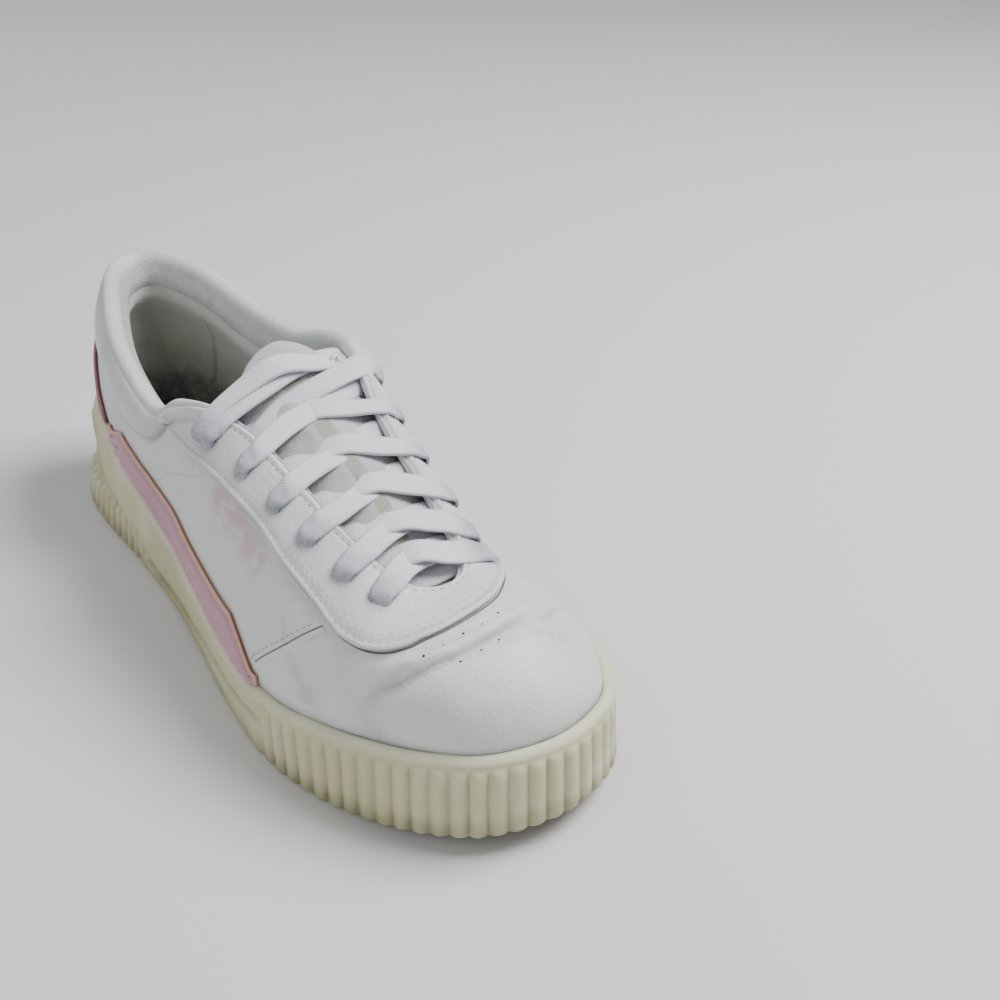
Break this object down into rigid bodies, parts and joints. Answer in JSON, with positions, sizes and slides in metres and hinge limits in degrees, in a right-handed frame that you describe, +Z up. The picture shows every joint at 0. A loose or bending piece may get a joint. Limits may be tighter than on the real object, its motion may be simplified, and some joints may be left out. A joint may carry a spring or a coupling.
{
  "type": "low court sneaker",
  "caption": "Worn right low court sneaker: white leather upper on a ribbed cream cupsole, flat laces, padded collar, standing empty",
  "frame": {"origin": "on the floor, under the middle of the shoe's box", "axes": "+Y from heel to toe, +X towards the lateral side, which is the wearer's right, +Z up"},
  "size_m": [0.0982, 0.2678, 0.0955],
  "materials": {
    "sole_rubber": "matt, yellowed, dirty low on the wall",
    "tread_rubber": "matt, walked brown",
    "sock_fabric": "matt, worn",
    "white_leather": "satin, creased and scuffed",
    "pink_leather": "satin, raw edge",
    "burgundy_suede": "napped",
    "tongue_fabric": "matt, dulled",
    "lace_fabric": "flat weave, greyed near the holes"
  },
  "bodies": {
    "root": {"cupsole": "sole_rubber", "outsole": "tread_rubber", "insole": "sock_fabric", "upper": "white_leather", "eyestay": "white_leather", "side_panel_lateral": "pink_leather", "side_panel_medial": "pink_leather", "heel_tab": "burgundy_suede", "tongue": "tongue_fabric", "laces": "lace_fabric"}
  },
  "joints": []
}
